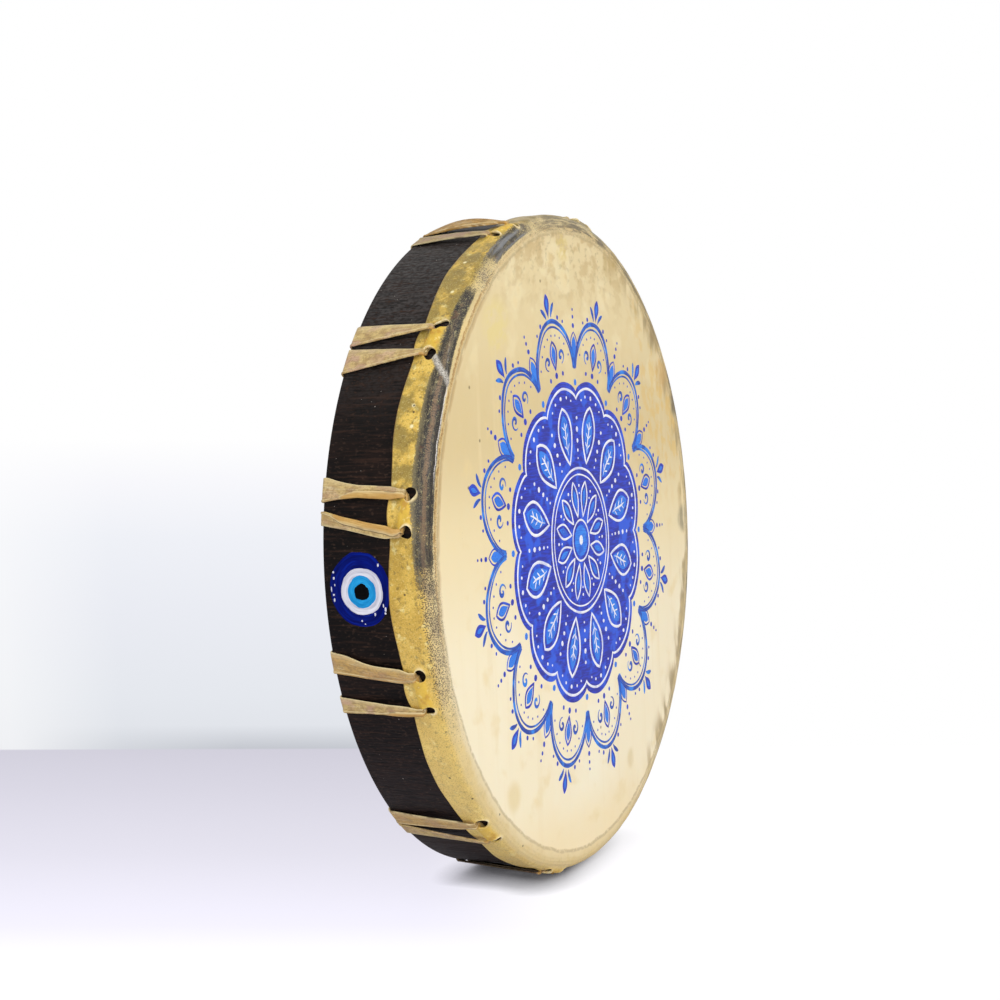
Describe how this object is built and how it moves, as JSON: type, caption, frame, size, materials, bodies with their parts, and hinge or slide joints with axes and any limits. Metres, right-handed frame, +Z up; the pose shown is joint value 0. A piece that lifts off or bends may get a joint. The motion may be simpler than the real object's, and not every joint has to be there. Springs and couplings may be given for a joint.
{
  "type": "frame drum",
  "caption": "Round hand drum: a shallow bent-wood hoop with a rawhide head laced over it to a ring and a cross-shaped grip at the back.",
  "frame": {"origin": "the middle of the drum's width and depth, on the surface that its rim stands on", "axes": "+Z up, -Y out of the playing face, +X to the right of someone who faces it"},
  "size_m": [0.4054, 0.0656, 0.4033],
  "materials": {
    "hoop_wood": "dark stained, semi-gloss",
    "head_rawhide": "translucent rawhide, semi-matt",
    "lace_rawhide": "rawhide lace, semi-matt",
    "ring_steel": "satin",
    "grip_hide": "wound hide, matt"
  },
  "bodies": {
    "root": {"hoop": "hoop_wood", "drum_head": "head_rawhide", "centre_ring": "ring_steel", "lace_01": "lace_rawhide", "lace_02": "lace_rawhide", "lace_03": "lace_rawhide", "lace_04": "lace_rawhide", "lace_05": "lace_rawhide", "lace_06": "lace_rawhide", "lace_07": "lace_rawhide", "lace_08": "lace_rawhide", "lace_09": "lace_rawhide", "lace_10": "lace_rawhide", "lace_11": "lace_rawhide", "lace_12": "lace_rawhide", "spoke_binding_1": "grip_hide", "spoke_binding_2": "grip_hide", "spoke_binding_3": "grip_hide", "spoke_binding_4": "grip_hide"}
  },
  "joints": []
}
